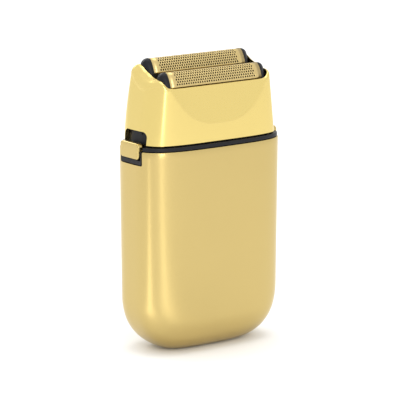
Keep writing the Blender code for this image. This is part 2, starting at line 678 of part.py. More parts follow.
def button_tab():
    """The outer plate of a release button, with rounded corners and edges."""
    rings = []
    for x, shrink in ((30.7, 0.0), (BUTTON_FACE - 0.5, 0.0), (BUTTON_FACE - 0.15, 0.2), (BUTTON_FACE, 0.55)):
        half_y = BUTTON_HALF_WIDTH - shrink
        half_z = (BUTTON_TOP - BUTTON_BOTTOM) / 2 - shrink
        radius = 1.4 - shrink
        ring = []
        for corner in range(4):
            sign_y = 1 if corner in (0, 3) else -1
            sign_z = 1 if corner in (0, 1) else -1
            for step in range(5):
                angle = corner * pi / 2 + step * pi / 8
                y = sign_y * (half_y - radius) + radius * cos(angle)
                z = sign_z * (half_z - radius) + radius * sin(angle)
                ring.append((x, y, (BUTTON_TOP + BUTTON_BOTTOM) / 2 + z))
        rings.append(ring)
    return loft(rings)


# ---------------------------------------------------------------- head

def add_head(m, lift, floats):
    """The pull-off head: housing, inner frame, cassette, foils, their carriers and springs."""
    columns = [head_column(angle) for angle in RING_ANGLES]
    rings = [[tuple(column[row]) for column in columns] for row in range(len(columns[0]))]
    window = turned_about_x(rounded_slab(14.0, WINDOW_HALF_WIDTH, 2.2, -40, 40), (0, 0, WINDOW_TOP - 14.0))
    add("head_housing", cut("housing", loft(rings, closed=True), window), m["bright_gold"], lift, 50.0)

    inset = HEAD_WALL + GAP
    frame = [[tuple(head_point(angle, z, inset, False)) for angle in RING_ANGLES] for z in (80.5, 86.4)]
    hole = rounded_slab(19.2, 10.2, 2.0, 70, 99, (0, -0.9))
    pockets = []
    for side in (-1, 1):
        pockets.append(mirrored(block((20.0, HOOK_INNER + 2.3), (-2.9, 2.9), (70.0, 84.6)), side))
    add("head_inner_frame", cut("frame", loft(frame), hole, *pockets), m["black_plastic"], lift)

    plate = [[tuple(head_point(angle, z, inset, False)) for angle in RING_ANGLES]
             for z in (CASSETTE_TOP - 2.0, CASSETTE_TOP)]
    front_y, rear_y = (y for y, crest in FOIL_CRESTS.values())
    room = CUTTER_HALF_WIDTH + GAP
    front_slot = block((-19.0, 19.0), (-20.0, front_y + room), (80, 120))
    rear_slot = block((-19.0, 19.0), (rear_y - room, rear_y + room), (80, 120))
    add("foil_cassette", cut("cassette", loft(plate), front_slot, rear_slot), m["black_plastic"], lift)

    for name, (y, crest) in FOIL_CRESTS.items():
        foot = crest - FOIL_HEIGHT
        outer = arch(y, crest, FOIL_HALF_WIDTH, FOIL_DROP, foot, 12)
        inner = arch(y, crest - FOIL_SHEET, FOIL_HALF_WIDTH - FOIL_SHEET, FOIL_DROP - FOIL_SHEET, foot, 12)
        sheet = extruded_x(outer + inner[::-1], -FOIL_HALF_LENGTH, FOIL_HALF_LENGTH)
        add(f"foil_{name}", sheet, m["foil_gold"], floats[name])
        add(f"foil_carrier_{name}", foil_carrier(y, crest), m["black_plastic"], floats[name])
        turns = 3 if name == "front" else 5
        for end, side in (("left", -1), ("right", 1)):
            top = crest - CARRIER_HEIGHT - 0.2
            spring = coil(1.0, 0.2, CASSETTE_TOP + 0.2, top, turns, (side * 21.9, y))
            add(f"foil_spring_{name}_{end}", spring, m["steel"], lift)


def cap_outline(y, crest, front, rear, foot, steps=6):
    """A cap's section in (y, z): as steep as the foil in front, and fuller at the rear."""
    outline = [(y + rear, foot)]
    for i in range(steps + 1):
        turn = pi / 2 * i / steps
        across = rear * signed_power(cos(turn), CAP_SQUARING)
        outline.append((y + across, crest - CAP_CROWN * (1 - signed_power(sin(turn), CAP_SQUARING))))
    for i in range(1, steps + 1):
        share = i / steps
        outline.append((y - front * share, crest - FOIL_DROP * share ** 2))
    outline.append((y - front, foot))
    return outline


def foil_carrier(y, crest):
    """The frame under a foil: a domed cap at each end, and a rail along each skirt."""
    ends = []
    start = FOIL_HALF_LENGTH + GAP
    for side in (-1, 1):
        rings = []
        for distance in (0.0, 1.0, 1.8, CAP_LENGTH):
            share = (1 - (distance / CAP_ROUND) ** 2) ** 0.5
            top = crest - CAP_FALL * (1 - share)
            outline = cap_outline(y, top, FOIL_HALF_WIDTH * share, CAP_REACH * share, crest - CARRIER_HEIGHT)
            rings.append([(side * (start + distance), py, pz) for py, pz in outline])
        ends.append(loft(rings))
    rails = []
    reach = start + 0.8
    for middle in (y - 3.3, y + 3.3):
        rails.append(block((-reach, reach), (middle - 0.22, middle + 0.22), (crest - 7.3, crest - 6.1)))
    return join("carrier", ends[0], *rails, ends[1])


# ---------------------------------------------------------------- assembly

def main():
    for thing in list(bpy.data.objects):
        bpy.data.objects.remove(thing)
    m = make_materials()
    rotor = axis_empty("rotor_axis", (0, DRIVE_Y, MOTOR_BOTTOM))
    bridge = axis_empty("bridge_slide", (0, DRIVE_Y, BRIDGE_BOTTOM))
    lift = axis_empty("head_slide", (0, 0, HEAD_BOTTOM))
    switch = axis_empty("switch_slide", (0, 14.4, SWITCH_Z))
    buttons = {"left": axis_empty("left_button_slide", (-BUTTON_FACE, 0, 78)),
               "right": axis_empty("right_button_slide", (BUTTON_FACE, 0, 78))}
    foil_floats = {}
    cutter_floats = {"bridge": bridge}
    for name, (y, crest) in FOIL_CRESTS.items():
        foil_floats[name] = axis_empty(f"foil_{name}_slide", (0, y, crest))
        cutter_floats[name] = axis_empty(f"cutter_{name}_slide", (0, y, crest))
    add_handle(m)
    add_chassis(m)
    add_motor(m, rotor)
    add_bridge(m, bridge)
    add_cutters(m, cutter_floats)
    add_battery(m)
    add_board(m, switch)
    add_port(m)
    add_leads(m)
    add_buttons(m, buttons)
    add_head(m, lift, foil_floats)


main()
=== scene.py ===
"""The look of the two-foil shaver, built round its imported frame.

Shapes are drawn in millimetres in the frame's own axes, and mesh_object() turns them into metres.
The front faces -Y.
"""

import json
from math import cos, pi, radians, sin

import bmesh
import bpy
from mathutils import Matrix, Vector


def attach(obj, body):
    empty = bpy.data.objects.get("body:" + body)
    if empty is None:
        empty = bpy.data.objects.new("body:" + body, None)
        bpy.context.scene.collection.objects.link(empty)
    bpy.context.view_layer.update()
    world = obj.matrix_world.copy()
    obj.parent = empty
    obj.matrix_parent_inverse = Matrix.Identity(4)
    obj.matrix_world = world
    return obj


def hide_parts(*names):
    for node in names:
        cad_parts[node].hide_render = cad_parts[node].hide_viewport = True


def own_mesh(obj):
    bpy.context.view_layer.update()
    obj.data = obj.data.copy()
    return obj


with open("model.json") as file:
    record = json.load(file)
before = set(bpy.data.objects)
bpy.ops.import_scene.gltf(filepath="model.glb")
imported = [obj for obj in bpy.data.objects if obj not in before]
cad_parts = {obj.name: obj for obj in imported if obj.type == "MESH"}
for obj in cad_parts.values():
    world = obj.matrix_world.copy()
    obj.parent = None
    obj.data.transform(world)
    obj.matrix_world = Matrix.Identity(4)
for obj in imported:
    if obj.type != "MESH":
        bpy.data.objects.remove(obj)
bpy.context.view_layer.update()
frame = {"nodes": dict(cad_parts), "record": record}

MM = 0.001
SIDES = (("left", -1), ("right", 1))

# ---------------------------------------------------------------- sizes, in mm

# Handle. Its outline is a superellipse, whose power falls a little from the top to the foot.
# BASE_ROUND_X and BASE_ROUND_Y say how far the foot is drawn in and how high that reaches, and the
# rim and the collar share the outline at RIM_OUTLINE_Z
BODY_HEIGHT = 78.3
BODY_HALF_WIDTH = 32.0
BODY_HALF_DEPTH = 15.5
BODY_TAPER = 0.45
BODY_POWER = 3.5
BODY_POWER_FALL = 0.3
BODY_WALL = 1.2
BASE_ROUND_X = (17.4, 20.5)
BASE_ROUND_Y = (11.5, 13.3)
RIM_ROUND = 0.35
RIM_OUTLINE_Z = 77.9
INSIDE_HEIGHTS = (BODY_HEIGHT, 60.0, 40.0, 20.6, 13.4, 8.2, 4.2, 2.2)

# How far the cutting shapes reach, always past what they cut
THROUGH_X = 40.0
THROUGH_REAR = (10.0, 20.0)
THROUGH_DECK = (70.0, 90.0)
THROUGH_FRAME = (70.0, 99.0)
THROUGH_BASE = (-2.0, 4.0)
BELOW_BASE = -5.0
REAR_WALL_CUT_Y = 11.0
REAR_WALL_CUT_DEPTH = 10.0

# Collar and deck
COLLAR_BOTTOM = 78.6
COLLAR_TOP = 79.9
COLLAR_INSET = 0.3
COLLAR_ROUND = 0.4
DECK_BOTTOM = 76.0
DECK_GAP = 0.3
DRIVE_Y = -3.3
DRIVE_HOLE_RADIUS = 2.9
PIN_X = 8.5
PIN_HOLE_RADIUS = 1.3
DECK_SCREWS = [(x, y) for x in (-16.0, 16.0) for y in (-8.6, 7.6)]
SCREW_HOLE_RADIUS = 1.3
SCREW_SEAT_RADIUS = 2.3
SCREW_SEAT_Z = 78.4
BUTTON_POCKET_INNER = 28.0
HOOK_POCKET_X = (20.0, 29.0)
HOOK_POCKET_HALF_WIDTH = 3.2

# Head. Where there are two values, the first is at its foot and the second at its top. The front
# half's outline is the softened meeting of a curve for the side and a curve for the front
HEAD_BOTTOM = 80.2
HEAD_TOP = 109.6
HEAD_HALF_WIDTH = (30.5, 26.4)
HEAD_FRONT = (14.1, 13.1)
HEAD_REAR = (13.5, 8.5)
HEAD_WALL = 1.5
HEAD_SHARP = 42.0
SIDE_DEPTH = (1.37, 1.57)
SIDE_POWER = 2.5
FRONT_WIDTH = 1.03
FRONT_POWER = (3.7, 4.9)
REAR_POWER = (3.5, 8.5)
CREASE_SHARPNESS = (90.0, 150.0)
LIP_Z = 101.5
LIP_Y = -12.1
LIP_ROUND = 0.5
SCOOP_BOTTOM = 87.3
SCOOP_HALF_WIDTH = 21.6
SCOOP_POWER = 3
SHOULDER_SIDE = 5.5
SHOULDER_REAR = 2.5
SHOULDER_SHARE = 0.85
SHOULDER_FADE_FRONT = 6
SHOULDER_FADE_REAR = 3
OPENING_HALF_WIDTH = 24.3
OPENING_FRONT = -11.4
OPENING_REAR = 7.4
OPENING_SQUARENESS = 16.0
OPENING_RIM = 0.6
OPENING_SILL = 97.4
RIM_THINNEST = 0.5
HEAD_INSIDE_HEIGHTS = (OPENING_SILL - 1.2, 91.0, 86.0, HEAD_BOTTOM)
WINDOW_HALF_WIDTH = 6.8
WINDOW_HALF_HEIGHT = 14.0
WINDOW_TOP = 85.4
WINDOW_CORNER = 2.2

# The upper edge of the head's side walls, as (y, z) from the lip to the rear
SIDE_KNOTS = [(OPENING_FRONT, LIP_Z), (-11.2, 102.0), (-10.9, 102.9), (-10.4, 103.6),
              (-9.1, 104.4), (-6.5, 104.8), (-5.1, 105.0), (-3.7, 105.5), (-1.8, 106.35),
              (-0.4, 106.9), (1.1, 107.6), (2.3, 108.35), (3.6, 108.9), (4.6, 109.2),
              (5.8, 108.6), (6.6, 107.2), (OPENING_REAR, 105.7)]

# Black frame inside the head. FRAME_HOLE is half its size in X and Y
FRAME_GAP = 0.15
FRAME_HEIGHTS = (80.5, 86.4)
FRAME_HOLE = (19.2, 10.2)
FRAME_HOLE_CORNER = 2.0
FRAME_HOLE_Y = -0.9
FRAME_POCKET_INNER = 20.0
FRAME_POCKET_PAST_HOOK = 2.3
FRAME_POCKET_HALF_WIDTH = 2.9
FRAME_POCKET_TOP = 84.6

# Foils. A crest is where a foil is highest, as (y, z)
FOIL_CRESTS = {"front": (-7.4, 107.2), "rear": (3.0, 111.3)}
FOIL_HALF_WIDTH = 3.6
FOIL_DROP = 5.5
FOIL_HEIGHT = 5.75
FOIL_SHEET = 0.14
FOIL_HALF_LENGTH = 21.15
FOIL_BORDER = 0.95
FOIL_SHARP = 60.0
HOLE_PITCH = 1.05
HOLE_ROWS = 13
HOLE_RADIUS = 0.37
HOLE_MARGIN = 2.5
WELD_DIGITS = 5

# Carriers: the caps at both ends of a foil, and the rails between them, with heights below the crest
CAP_GAP = 0.06
CAP_ROOT = 0.3
CAP_LENGTH = 2.5
CAP_ROUND = 2.9
CAP_FALL = 3.0
CAP_REACH = 3.6
CAP_CROWN = 4.0
CAP_SQUARING = 0.75
CAP_SHARP = 40.0
CARRIER_HEIGHT = 7.6
RAIL_HALF_LENGTH = 22.0
RAIL_OFFSET = 3.3
RAIL_HALF_WIDTH = 0.22
RAIL_HEIGHTS = (7.3, 6.1)

# Cutters. A blade's start and end are shares of the pitch
CUTTER_HALF_WIDTH = 2.85
CUTTER_HALF_LENGTH = 17.4
CUTTER_HEIGHT = 5.8
CORE_GAP = 1.6
CORE_DROP = 4.1
CORE_INSET = 0.6
BLADES = 44
BLADE_GAP = 0.6
BLADE_DROP = 5.1
BLADE_START = 0.75
BLADE_END = 0.98

# Release buttons, the notches that they stand in, and the notches' liners
NOTCH_HALF_WIDTH = 6.8
NOTCH_BOTTOM = 72.9
NOTCH_FLARE = 0.5
NOTCH_CORNER = 0.6
NOTCH_RISE = 3.0
LINER_X = (28.4, 31.75)
LINER_GAP = 0.25
LINER_FLOOR_GAP = 0.3
LINER_BEVEL = 0.12
LINER_CUT_INNER = 20.0
BUTTON_HALF_WIDTH = 5.75
BUTTON_BACK = 30.7
BUTTON_FACE = 32.7
BUTTON_BOTTOM = 75.2
BUTTON_TOP = 81.3
BUTTON_CORNER = 1.4
BUTTON_EDGE_DEPTH = 0.5
BUTTON_EDGE_WIDTH = 0.45
BUTTON_CROWN = 0.1
BUTTON_CROWN_SHARES = (0.75, 0.5, 0.25, 0.05)
HOOK_INNER = 25.9
HOOK_THICKNESS = 2.0
HOOK_HALF_WIDTH = 2.5
HOOK_HEIGHTS = (76.2, 84.0)
SHELF_X = (HOOK_INNER + 1.0, 31.5)
SHELF_HALF_WIDTH = 2.7
SHELF_HEIGHTS = (76.2, 78.0)

# Power switch and charge lens, on the rear
SWITCH_Z = 49.0
SWITCH_LOW = 46.5
SWITCH_GAP = 0.12
BEZEL_HALF_WIDTH = 6.5
BEZEL_HALF_HEIGHT = 13.0
BEZEL_Y = 13.3
BEZEL_DEPTH = 2.05
BEZEL_EDGE = 0.3
BEZEL_BORDER = 1.0
DISH_Y = 14.1
DISH_DEPTH = 9.0
SLOT_HALF_WIDTH = 1.6
SLOT_HALF_HEIGHT = 6.0
THUMB_HALF_WIDTH = 4.3
THUMB_HALF_HEIGHT = 5.0
THUMB_CORNER = 1.5
THUMB_Y = 14.4
THUMB_DEPTH = 0.75
THUMB_EDGE = 0.25
RIB_HALF_LENGTH = 3.2
RIB_HALF_HEIGHT = 0.3
RIB_PITCH = 1.3
RIB_Y = (15.0, 15.35)
STEM_HALF_WIDTH = 1.2
STEM_HALF_HEIGHT = 2.5
STEM_Y = (13.1, 14.6)
LENS_Z = 30.0
LENS_HOLE_RADIUS = 1.45
LENS_PROFILE = [(1.35, 0.0), (1.35, 1.85), (1.2, 2.0), (0.8, 2.1), (0.3, 2.14)]

# Charging port, in the base. The pairs that aren't heights are half sizes in X and Y
PORT_HOLE = (5.6, 2.4)
PORT_TRIM = (5.3, 2.1)
PORT_TRIM_HEIGHTS = (0.3, 1.5)
PORT_TRIM_BEVEL = 0.08
PORT_MOUTH = (4.7, 1.75)
PORT_MOUTH_TOP = 5.0
SOCKET_CASE = (4.5, 1.55)
SOCKET_CASE_HEIGHTS = (0.8, 8.6)
SOCKET_HOLLOW = (4.2, 1.25)
SOCKET_HOLLOW_TOP = 7.8
TONGUE = (3.3, 0.35)
TONGUE_HEIGHTS = (1.6, 8.2)

# How finely shapes are drawn
RING = 288
RING_ANGLES = [2 * pi * i / RING for i in range(RING)]
HOLE_SIDES = 32
DRIVE_HOLE_SIDES = 48
PIN_HOLE_SIDES = 24
LENS_SIDES = 40
EDGE_STEPS = 3
PILL_FLAT = 0.01
SHARP = 30.0
BEVEL_SEGMENTS = 3
BEVEL_ANGLE = 40.0

# ---------------------------------------------------------------- studio, in metres and degrees

# Name, place, target, size, and power in watts
AREA_LIGHTS = (
    ("strip_front", (-0.385, -1.06, 0.42), (0.0, 0.0, 0.06), (0.16, 0.8), 3.4),
    ("back", (-0.1, 1.1, 0.8), (0.0, 0.0, 0.1), (1.0, 0.4), 3.0),
    ("top", (0.1, 0.0, 1.5), (0.0, 0.0, 0.08), (1.0, 1.0), 6.0),
)
# Name, heading, width, and power in watts
FLOOR_GLOWS = (
    ("glow_left", 196.0, 0.03, 0.05),
    ("glow_front", 246.0, 0.028, 0.034),
)
GLOW_NEAR = 0.06
GLOW_FAR = 0.42
GLOW_HEIGHT = 0.012
WORLD_STRENGTH = 1.12
FLOOR_SIZE = 3.0
CAMERA_AZIMUTH = -36.3
CAMERA_ELEVATION = 12.04
CAMERA_DISTANCE = 0.9727
CAMERA_TARGET_Z = 0.05518
CAMERA_SHIFT = 0.00015
CAMERA_LENS = 230.1
CAMERA_SENSOR = 36.0
CAMERA_CLIP = 20.0


# ---------------------------------------------------------------- materials

FINISHES = {
    "satin_gold": dict(colour=(0.55, 0.42, 0.165), roughness=0.26, metallic=1.0, tint=0.02,
                       grain=9000.0, bump=0.2, spread=0.03),
    "bright_gold": dict(colour=(0.745, 0.585, 0.207), roughness=0.24, metallic=1.0, tint=0.015,
                        grain=5000.0, bump=0.05, spread=0.02),
    "foil_gold": dict(colour=(0.6, 0.46, 0.2), roughness=0.3, metallic=1.0, tint=0.05,
                      grain=6000.0, bump=0.2, spread=0.06),
    "black_plastic": dict(colour=(0.008, 0.008, 0.010), roughness=0.4, tint=0.1,
                          grain=7000.0, bump=0.25, spread=0.06, Specular_IOR_Level=0.2),
    "black_rubber": dict(colour=(0.025, 0.025, 0.026), roughness=0.72, tint=0.15,
                         grain=3000.0, bump=0.5, spread=0.1),
    "white_plastic": dict(colour=(0.74, 0.73, 0.69), roughness=0.45, tint=0.04,
                          grain=4000.0, bump=0.15, spread=0.06, Subsurface_Weight=0.1),
    "steel": dict(colour=(0.58, 0.57, 0.56), roughness=0.3, metallic=1.0, tint=0.08,
                  grain=2500.0, bump=0.3, spread=0.08, stretch=(1.0, 1.0, 0.06)),
    # blade_steel is near black as painted shade: the real steel is bright, and this dark stands for
    # the shade inside the foils' holes
    "blade_steel": dict(colour=(0.04, 0.035, 0.03), roughness=0.5, metallic=1.0, tint=0.06,
                        grain=3000.0, bump=0.3, spread=0.08, stretch=(0.08, 1.0, 1.0)),
    "green_board": dict(colour=(0.02, 0.14, 0.055), roughness=0.38, tint=0.25,
                        grain=900.0, bump=0.4, spread=0.08),
    "battery_wrap": dict(colour=(0.03, 0.13, 0.4), roughness=0.3, tint=0.08,
                         grain=1200.0, bump=0.3, spread=0.05, Coat_Weight=0.3),
    "nickel": dict(colour=(0.66, 0.61, 0.54), roughness=0.28, metallic=1.0, tint=0.05,
                   grain=3500.0, bump=0.3, spread=0.07),
    "red_wire": dict(colour=(0.5, 0.02, 0.02), roughness=0.45, tint=0.08,
                     grain=2500.0, bump=0.2, spread=0.06),
    "lens": dict(colour=(0.78, 0.82, 0.84), roughness=0.12, tint=0.03,
                 grain=2500.0, bump=0.05, spread=0.03, Transmission_Weight=0.4, IOR=1.49),
}
FLOOR_FINISH = dict(colour=(0.9, 0.9, 0.9), roughness=0.9, tint=0.005,
                    grain=200.0, bump=0.02, spread=0.02)

GRAIN_DEPTH = 0.00002
GRAIN_DETAIL = 4.0
GRAIN_ROUGHNESS = 0.6
MOTTLE_SCALE = 55.0
MOTTLE_DETAIL = 3.0
LEAST_ROUGHNESS = 0.02

# The colour sockets of a Mix node, whose names it shares with its other kinds
MIX_FIRST = 6
MIX_SECOND = 7
MIX_RESULT = 2


def shader_node(material, kind, **values):
    """One shader node with its plain inputs set."""
    made = material.node_tree.nodes.new(kind)
    for key, value in values.items():
        made.inputs[key.replace("_", " ")].default_value = value
    return made


def finish(name, colour, roughness, tint, grain, bump, spread, metallic=0.0,
           stretch=(1.0, 1.0, 1.0), **sockets):
    """A Principled material with fine grain in its relief and gloss, and slow mottling in its colour.

    tint and spread say how far colour and roughness vary, grain is the noise's scale, bump its
    strength in the relief, and stretch its scale along each axis. sockets are further inputs of the
    shader.
    """
    material = bpy.data.materials.new(name)
    material.use_nodes = True
    link = material.node_tree.links.new
    shader = material.node_tree.nodes["Principled BSDF"]
    shader.inputs["Metallic"].default_value = metallic
    for key, value in sockets.items():
        shader.inputs[key.replace("_", " ")].default_value = value
    place = shader_node(material, "ShaderNodeTexCoord").outputs["Object"]
    scaled = shader_node(material, "ShaderNodeMapping", Scale=stretch)
    link(place, scaled.inputs["Vector"])

    mottle = shader_node(material, "ShaderNodeTexNoise", Scale=MOTTLE_SCALE, Detail=MOTTLE_DETAIL)
    link(place, mottle.inputs["Vector"])
    blend = shader_node(material, "ShaderNodeMix")
    blend.data_type = "RGBA"
    link(mottle.outputs["Fac"], blend.inputs["Factor"])
    blend.inputs[MIX_FIRST].default_value = (*[c * (1 - tint) for c in colour], 1.0)
    blend.inputs[MIX_SECOND].default_value = (*[min(1.0, c * (1 + tint)) for c in colour], 1.0)
    link(blend.outputs[MIX_RESULT], shader.inputs["Base Color"])

    fine = shader_node(material, "ShaderNodeTexNoise", Scale=grain, Detail=GRAIN_DETAIL,
                       Roughness=GRAIN_ROUGHNESS)
    link(scaled.outputs["Vector"], fine.inputs["Vector"])
    gloss = shader_node(material, "ShaderNodeMapRange",
                        To_Min=max(LEAST_ROUGHNESS, roughness - spread),
                        To_Max=min(1.0, roughness + spread))
    link(fine.outputs["Fac"], gloss.inputs["Value"])
    link(gloss.outputs["Result"], shader.inputs["Roughness"])
    relief = shader_node(material, "ShaderNodeBump", Strength=bump, Distance=GRAIN_DEPTH)
    link(fine.outputs["Fac"], relief.inputs["Height"])
    link(relief.outputs["Normal"], shader.inputs["Normal"])
    return material


MATERIALS = {name: finish(name, **values) for name, values in FINISHES.items()}


# ---------------------------------------------------------------- mesh tools

def quarter_turns(steps, first=0):
    """The angles from 0 to a quarter turn in equal steps, beginning with step number first."""
    return [pi / 2 * i / steps for i in range(first, steps + 1)]


def across(half):
    """The range that reaches equally far to both sides of the middle."""
    return -half, half


def about(middle, half):
    """The range that reaches equally far to both sides of a middle."""
    return middle - half, middle + half


def between(ends, share):
    """The value at a share of the way between two ends."""
    return ends[0] + (ends[1] - ends[0]) * share


def face_out(bm):
    """Turns every face of a closed shape outwards."""
    bmesh.ops.recalc_face_normals(bm, faces=bm.faces)
    if bm.calc_volume(signed=True) < 0:
        bmesh.ops.reverse_faces(bm, faces=bm.faces)
    return bm


def loft(rings, closed=False):
    """Joins outlines of equal length; the ends are capped unless the last ring meets the first."""
    bm = bmesh.new()
    rows = [[bm.verts.new(point) for point in ring] for ring in rings]
    count = len(rings[0])
    pairs = list(zip(rows, rows[1:]))
    if closed:
        pairs.append((rows[-1], rows[0]))
    for low, high in pairs:
        for i in range(count):
            j = (i + 1) % count
            bm.faces.new((low[i], low[j], high[j], high[i]))
    if not closed:
        bm.faces.new(list(reversed(rows[0])))
        bm.faces.new(rows[-1])
    return face_out(bm)


def block(x, y, z):
    """A box between the two ends given for each axis."""
    bm = bmesh.new()
    size = [high - low for low, high in (x, y, z)]
    middle = [(low + high) / 2 for low, high in (x, y, z)]
    place = Matrix.Translation(middle) @ Matrix.Diagonal((*size, 1.0))
    bmesh.ops.create_cube(bm, size=1.0, matrix=place)
    return bm


def rounded_outline(half_x, half_y, radius, centre=(0.0, 0.0), steps=8):
    """A rectangle's outline with round corners."""
    outline = []
    for corner in range(4):
        sign_x = 1 if corner in (0, 3) else -1
        sign_y = 1 if corner in (0, 1) else -1
        for step in range(steps + 1):
            angle = corner * pi / 2 + step * pi / 2 / steps
            outline.append((centre[0] + sign_x * (half_x - radius) + radius * cos(angle),
                            centre[1] + sign_y * (half_y - radius) + radius * sin(angle)))
    return outline


def rounded_slab(half_x, half_y, radius, z_low, z_high, centre=(0.0, 0.0), edge=0.0):
    """A slab with round corners, whose upper edge is rounded by edge."""
    layers = [(z_low, 0.0)]
    if edge:
        layers += [(z_high - edge + edge * sin(turn), edge * (1 - cos(turn)))
                   for turn in quarter_turns(EDGE_STEPS)]
    else:
        layers.append((z_high, 0.0))
    rings = []
    for z, inset in layers:
        outline = rounded_outline(half_x - inset, half_y - inset, radius - inset, centre)
        rings.append([(x, y, z) for x, y in outline])
    return loft(rings)


def pill(half_x, half_y, z_low, z_high, edge=0.0):
    """A slab with fully round ends, but for a narrow flat that keeps its corners apart."""
    return rounded_slab(half_x, half_y, min(half_x, half_y) - PILL_FLAT, z_low, z_high, edge=edge)


def turned(profile, sides, centre=(0.0, 0.0)):
    """A solid turned about a vertical axis from (radius, z) corners."""
    angles = [2 * pi * i / sides for i in range(sides)]
    rings = []
    for radius, z in profile:
        rings.append([(centre[0] + radius * cos(angle), centre[1] + radius * sin(angle), z)
                      for angle in angles])
    return loft(rings)


def along_x(outline, ends):
    """A (y, z) outline drawn out between two places on X."""
    return loft([[(x, y, z) for y, z in outline] for x in ends])


def laid_along_y(bm, centre):
    """Points a vertical shape along +Y and moves it to its place."""
    turn = Matrix.Rotation(radians(-90.0), 4, "X")
    bmesh.ops.transform(bm, matrix=Matrix.Translation(centre) @ turn, verts=bm.verts)
    return bm


def mirrored(bm, side):
    """The shape as drawn for +X, or its mirror image for -X."""
    if side < 0:
        bmesh.ops.scale(bm, vec=(-1, 1, 1), verts=bm.verts)
        bmesh.ops.reverse_faces(bm, faces=bm.faces)
    return bm


def mesh_object(name, bm):
    """An object in the scene, in metres, from a shape in millimetres."""
    bmesh.ops.scale(bm, vec=(MM, MM, MM), verts=bm.verts)
    mesh = bpy.data.meshes.new(name)
    bm.to_mesh(mesh)
    bm.free()
    thing = bpy.data.objects.new(name, mesh)
    bpy.context.scene.collection.objects.link(thing)
    return thing


def combined(first, others, operation):
    """The first shape with the others cut from it or joined to it."""
    thing = mesh_object("work", first)
    for other in others:
        tool = mesh_object("work_tool", other)
        boolean = thing.modifiers.new("boolean", "BOOLEAN")
        boolean.operation = operation
        boolean.solver = "EXACT"
        boolean.object = tool
        bpy.context.view_layer.update()
        result = thing.evaluated_get(bpy.context.evaluated_depsgraph_get())
        mesh = bpy.data.meshes.new_from_object(result)
        thing.modifiers.clear()
        thing.data = mesh
        bpy.data.objects.remove(tool)
    bm = bmesh.new()
    bm.from_mesh(thing.data)
    bmesh.ops.scale(bm, vec=(1 / MM, 1 / MM, 1 / MM), verts=bm.verts)
    bpy.data.objects.remove(thing)
    return bm


def cut(first, *others):
    """The first shape without the others."""
    return combined(first, others, "DIFFERENCE")


def join(first, *others):
    """The shapes as one."""
    return combined(first, others, "UNION")


def piece(name, bm, material, body, replaced, sharp=SHARP, bevel=0.0):
    """A finished visible piece that rides on a body and stands for a CAD node."""
    thing = mesh_object(name, bm)
    thing.data.materials.append(MATERIALS[material])
    thing.data.shade_smooth()
    thing.data.set_sharp_from_angle(angle=radians(sharp))
    if bevel:
        modifier = thing.modifiers.new("edge", "BEVEL")
        modifier.width = bevel * MM
        modifier.segments = BEVEL_SEGMENTS
        modifier.limit_method = "ANGLE"
        modifier.angle_limit = radians(BEVEL_ANGLE)
        modifier.harden_normals = True
    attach(thing, body)
    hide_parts(replaced)
    return thing


# ---------------------------------------------------------------- outlines of the handle and head

def signed_power(value, exponent):
    """A power that keeps the sign of its value."""
    return abs(value) ** exponent * (1 if value > 0 else -1)


def superellipse_reach(c, s, power):
    """How far a superellipse of unit size reaches along the direction (c, s)."""
    return (abs(c) ** power + abs(s) ** power) ** (-1 / power)


def superellipse_point(angle, half_width, half_depth, power):
    """The (x, y) in one direction on an outline between an ellipse and a rectangle."""
    c = cos(angle)
    s = sin(angle)
    reach = superellipse_reach(c, s, power)
    return half_width * reach * c, half_depth * reach * s


def drawn_in(height, rounding):
    """How far an elliptical rounding, given as (across, up), draws the foot in at a height."""
    reach, top = rounding
    if height >= top:
        return 0.0
    return reach * (1 - (1 - ((top - height) / top) ** 2) ** 0.5)


def body_ring(z, inset=0.0, height=None):
    """The handle's outline, at z but with the form that it has at a height, moved inwards by inset."""
    height = z if height is None else height
    fall = 1 - height / BODY_HEIGHT
    half_width = BODY_HALF_WIDTH - BODY_TAPER * fall - drawn_in(height, BASE_ROUND_X) - inset
    half_depth = BODY_HALF_DEPTH - drawn_in(height, BASE_ROUND_Y) - inset
    power = BODY_POWER - BODY_POWER_FALL * fall
    return [(*superellipse_point(angle, half_width, half_depth, power), z)
            for angle in RING_ANGLES]


def smooth_through(knots, y):
    """A smooth curve through (y, z) knots, whose slope at each knot follows its neighbours."""
    slopes = []
    for i in range(len(knots)):
        before = knots[max(i - 1, 0)]
        after = knots[min(i + 1, len(knots) - 1)]
        slopes.append((after[1] - before[1]) / (after[0] - before[0]))
    if y <= knots[0][0]:
        return knots[0][1]
    for i, ((y0, z0), (y1, z1)) in enumerate(zip(knots, knots[1:])):
        if y <= y1:
            span = y1 - y0
            t = (y - y0) / span
            return (z0 * (1 + 2 * t) * (1 - t) ** 2 + slopes[i] * span * t * (1 - t) ** 2
                    + z1 * t * t * (3 - 2 * t) + slopes[i + 1] * span * t * t * (t - 1))
    return knots[-1][1]


def creased_reach(c, s, share):
    """The reach of the head's front half, where the curves of side and front meet in a crease."""
    side = superellipse_reach(c, s / between(SIDE_DEPTH, share), SIDE_POWER)
    front = superellipse_reach(c / FRONT_WIDTH, s, between(FRONT_POWER, share))
    power = between(CREASE_SHARPNESS, share)
    return (side ** -power + front ** -power) ** (-1 / power)


